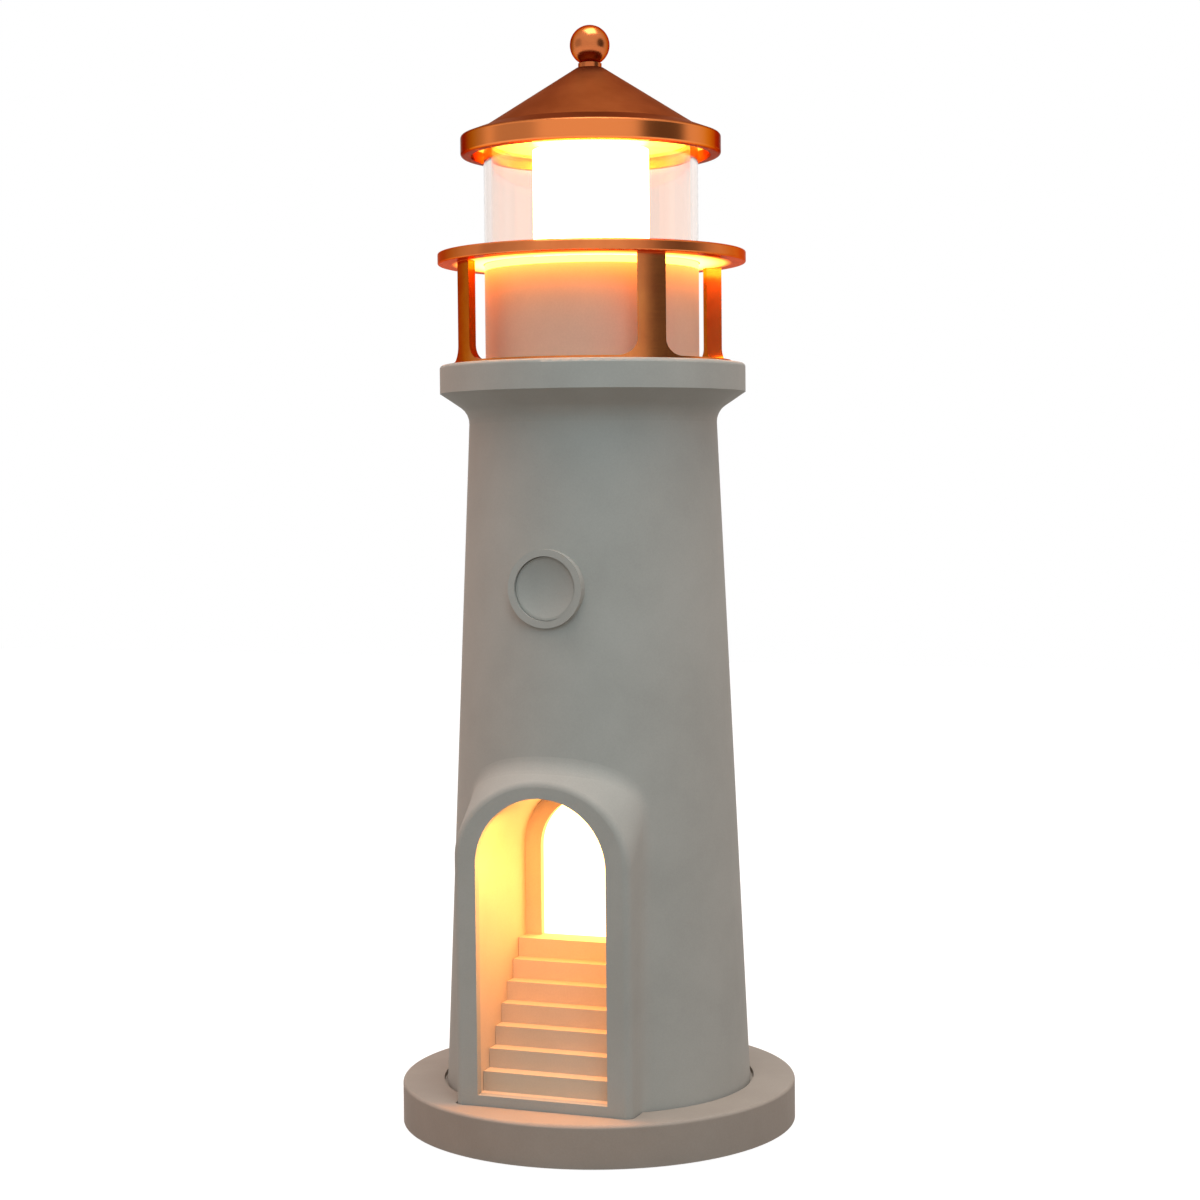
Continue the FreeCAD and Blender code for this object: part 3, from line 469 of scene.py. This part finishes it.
def white_floor():
    """A matte floor that also glows for the rays that see it."""
    mesh = bpy.data.meshes.new("floor")
    corners = [(-FLOOR_HALF, -FLOOR_HALF, 0), (FLOOR_HALF, -FLOOR_HALF, 0), (FLOOR_HALF, FLOOR_HALF, 0)]
    mesh.from_pydata([*corners, (-FLOOR_HALF, FLOOR_HALF, 0)], [], [(0, 1, 2, 3)])
    floor = bpy.data.objects.new("floor", mesh)
    bpy.context.collection.objects.link(floor)
    material, shader = new_material("white_floor", Base_Color=linear("#7e7c79"), Roughness=0.9)
    tree = material.node_tree
    output = next(n for n in tree.nodes if n.bl_idname == "ShaderNodeOutputMaterial")
    rays = add(material, "LightPath")
    seen_or_mirrored = add(material, "Math", {"operation": "MAXIMUM"})
    tree.links.new(rays.outputs["Is Camera Ray"], seen_or_mirrored.inputs[0])
    tree.links.new(rays.outputs["Is Glossy Ray"], seen_or_mirrored.inputs[1])
    seen = add(material, "Math", {"operation": "MAXIMUM"})
    tree.links.new(seen_or_mirrored.outputs[0], seen.inputs[0])
    tree.links.new(rays.outputs["Is Transmission Ray"], seen.inputs[1])
    glow = add(material, "Emission", Color=(1, 1, 1, 1), Strength=FLOOR_GLOW)
    both = add(material, "AddShader")
    tree.links.new(shader.outputs["BSDF"], both.inputs[0])
    tree.links.new(glow.outputs["Emission"], both.inputs[1])
    mixed = add(material, "MixShader", Fac=(seen, "Value"))
    tree.links.new(shader.outputs["BSDF"], mixed.inputs[1])
    tree.links.new(both.outputs["Shader"], mixed.inputs[2])
    tree.links.new(mixed.outputs["Shader"], output.inputs["Surface"])
    floor.data.materials.append(material)


DARK_CARDS = ((88, 0.13), (-50, 0.6), (-108, 0.6))
CARD_EDGE, CARD_CORE = 0.88, 0.96
AMBIENT = 0.54


def white_world():
    """Each card has its turn from the front to the right, in degrees, and its brightness."""
    world = bpy.data.worlds.new("white_room")
    bpy.context.scene.world = world
    world.use_nodes = True
    world.node_tree.nodes.clear()
    links = world.node_tree.links
    rays = add(world, "LightPath")
    place = add(world, "TexCoord")
    left_over = add(world, "Value")
    left_over.outputs["Value"].default_value = 1.0
    for turn, brightness in DARK_CARDS:
        aim = add(world, "VectorMath", {"operation": "DOT_PRODUCT"})
        links.new(place.outputs["Generated"], aim.inputs[0])
        towards = Vector((math.sin(math.radians(turn)), -math.cos(math.radians(turn)), 0.1))
        aim.inputs[1].default_value = towards.normalized()
        card = add(
            world,
            "MapRange",
            {"interpolation_type": "SMOOTHSTEP"},
            Value=(aim, "Value"),
            From_Min=CARD_EDGE,
            From_Max=CARD_CORE,
            To_Min=1.0,
            To_Max=brightness,
        )
        shaded = add(world, "Math", {"operation": "MULTIPLY"})
        links.new(left_over.outputs["Value"], shaded.inputs[0])
        links.new(card.outputs["Result"], shaded.inputs[1])
        left_over = shaded
    seen = add(world, "Math", {"operation": "MAXIMUM"})
    links.new(rays.outputs["Is Camera Ray"], seen.inputs[0])
    links.new(rays.outputs["Is Transmission Ray"], seen.inputs[1])
    mirrored = add(
        world,
        "Mix",
        {"data_type": "FLOAT"},
        Factor=(rays, "Is Glossy Ray"),
        A=AMBIENT,
        B=(left_over, "Value"),
    )
    strength = add(
        world, "Mix", {"data_type": "FLOAT"}, Factor=(seen, "Value"), A=(mirrored, "Result"), B=1.0
    )
    background = add(world, "Background", Color=(1, 1, 1, 1), Strength=(strength, "Result"))
    add(world, "OutputWorld", Surface=(background, "Background"))


white_floor()
white_world()
print("dark cards:", len(DARK_CARDS))


# %% [markdown]
# ## Soft lamps
# Soft panels model the round tower as the photograph's studio did: a warm one on the left, a cooler one
# in front on the right, and a weak warm one behind on the right. One above gives the collar and the base
# their lighter tops, and is the only one that the copper mirrors. A small disc in the niche's vault
# lights the lower steps, which the glowing door can't reach.

# %% Studio light
AIM = Vector((0, 0, 220 * MM))


def soft_panel(name, place, size, watts, colour, mirrored=False):
    """A soft box aimed at the collar. Places and sizes are in metres."""
    lamp = bpy.data.lights.new(name, "AREA")
    lamp.shape = "RECTANGLE"
    lamp.size, lamp.size_y = size
    lamp.energy = watts
    lamp.color = linear(colour)[:3]
    panel = bpy.data.objects.new(name, lamp)
    panel.location = place
    panel.rotation_euler = (AIM - Vector(place)).to_track_quat("-Z", "Y").to_euler()
    panel.visible_glossy = mirrored
    panel.visible_camera = False
    bpy.context.collection.objects.link(panel)


VAULT_LIGHT = "#ffa04c"
VAULT_WATTS = 0.052


def vault_lamp():
    """A warm disc of light at the top of the niche, just inside its mouth, shining down on the steps."""
    liner_low, liner_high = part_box("niche_liner")
    lamp = bpy.data.lights.new("vault_light", "AREA")
    lamp.shape = "DISK"
    lamp.size = 12 * MM
    lamp.energy = VAULT_WATTS
    lamp.color = linear(VAULT_LIGHT)[:3]
    disc = bpy.data.objects.new("vault_light", lamp)
    disc.location = (0, liner_low.y + 2.5 * MM, liner_high.z - 6.8 * MM)
    steps_foot = Vector((0, liner_low.y + 1.5 * MM, 0))
    disc.rotation_euler = (steps_foot - disc.location).to_track_quat("-Z", "Y").to_euler()
    bpy.context.collection.objects.link(disc)


vault_lamp()
soft_panel("left_panel", (-0.48, -0.1, 0.58), (0.3, 0.5), 1.4, "#ffa474")
soft_panel("right_panel", (0.24, -0.42, 0.62), (0.3, 0.4), 1.35, "#cdeeff")
soft_panel("back_panel", (0.6, 0.25, 0.5), (0.3, 0.5), 0.65, "#ffa67c")
soft_panel("top_panel", (0.1, -0.1, 1.2), (0.7, 0.7), 10.0, "#fff2ea", mirrored=True)
print("lamps:", len(bpy.data.lights))


# %% [markdown]
# ## The camera
# The photograph was taken from a little to the lamp's right and from about the height of its button. The
# numbers below were worked out from the base's ellipse, the tower's taper and the height of the lamp.

# %% Camera
CAMERA_TURN = math.radians(20.8)
CAMERA_DISTANCE = 0.6312
CAMERA_HEIGHT = 0.1707
CAMERA_PITCH = 0.0507
CAMERA_ROLL = 0.0091
CAMERA_YAW = 0.0022
LENS_MM = 71.18


def photograph_camera():
    """The camera looks along +Y from the front, and is then turned round the lamp."""
    forward = Vector((math.sin(CAMERA_YAW), math.cos(CAMERA_YAW), 0)) * math.cos(CAMERA_PITCH)
    forward.z = -math.sin(CAMERA_PITCH)
    level_right = Vector((math.cos(CAMERA_YAW), -math.sin(CAMERA_YAW), 0))
    level_up = level_right.cross(forward)
    right = level_right * math.cos(CAMERA_ROLL) - level_up * math.sin(CAMERA_ROLL)
    up = level_right * math.sin(CAMERA_ROLL) + level_up * math.cos(CAMERA_ROLL)
    pose = Matrix((right, up, -forward)).transposed().to_4x4()
    pose.translation = Vector((0, -CAMERA_DISTANCE, CAMERA_HEIGHT))
    camera = bpy.data.objects.new("camera", bpy.data.cameras.new("camera"))
    camera.data.lens = LENS_MM
    camera.data.sensor_width = 36.0
    camera.data.clip_start = 0.01
    camera.matrix_world = Matrix.Rotation(CAMERA_TURN, 4, "Z") @ pose
    bpy.context.collection.objects.link(camera)
    bpy.context.scene.camera = camera


photograph_camera()
bpy.context.scene.view_settings.view_transform = "Standard"
print("camera's distance from the axis in mm:", round(CAMERA_DISTANCE / MM))
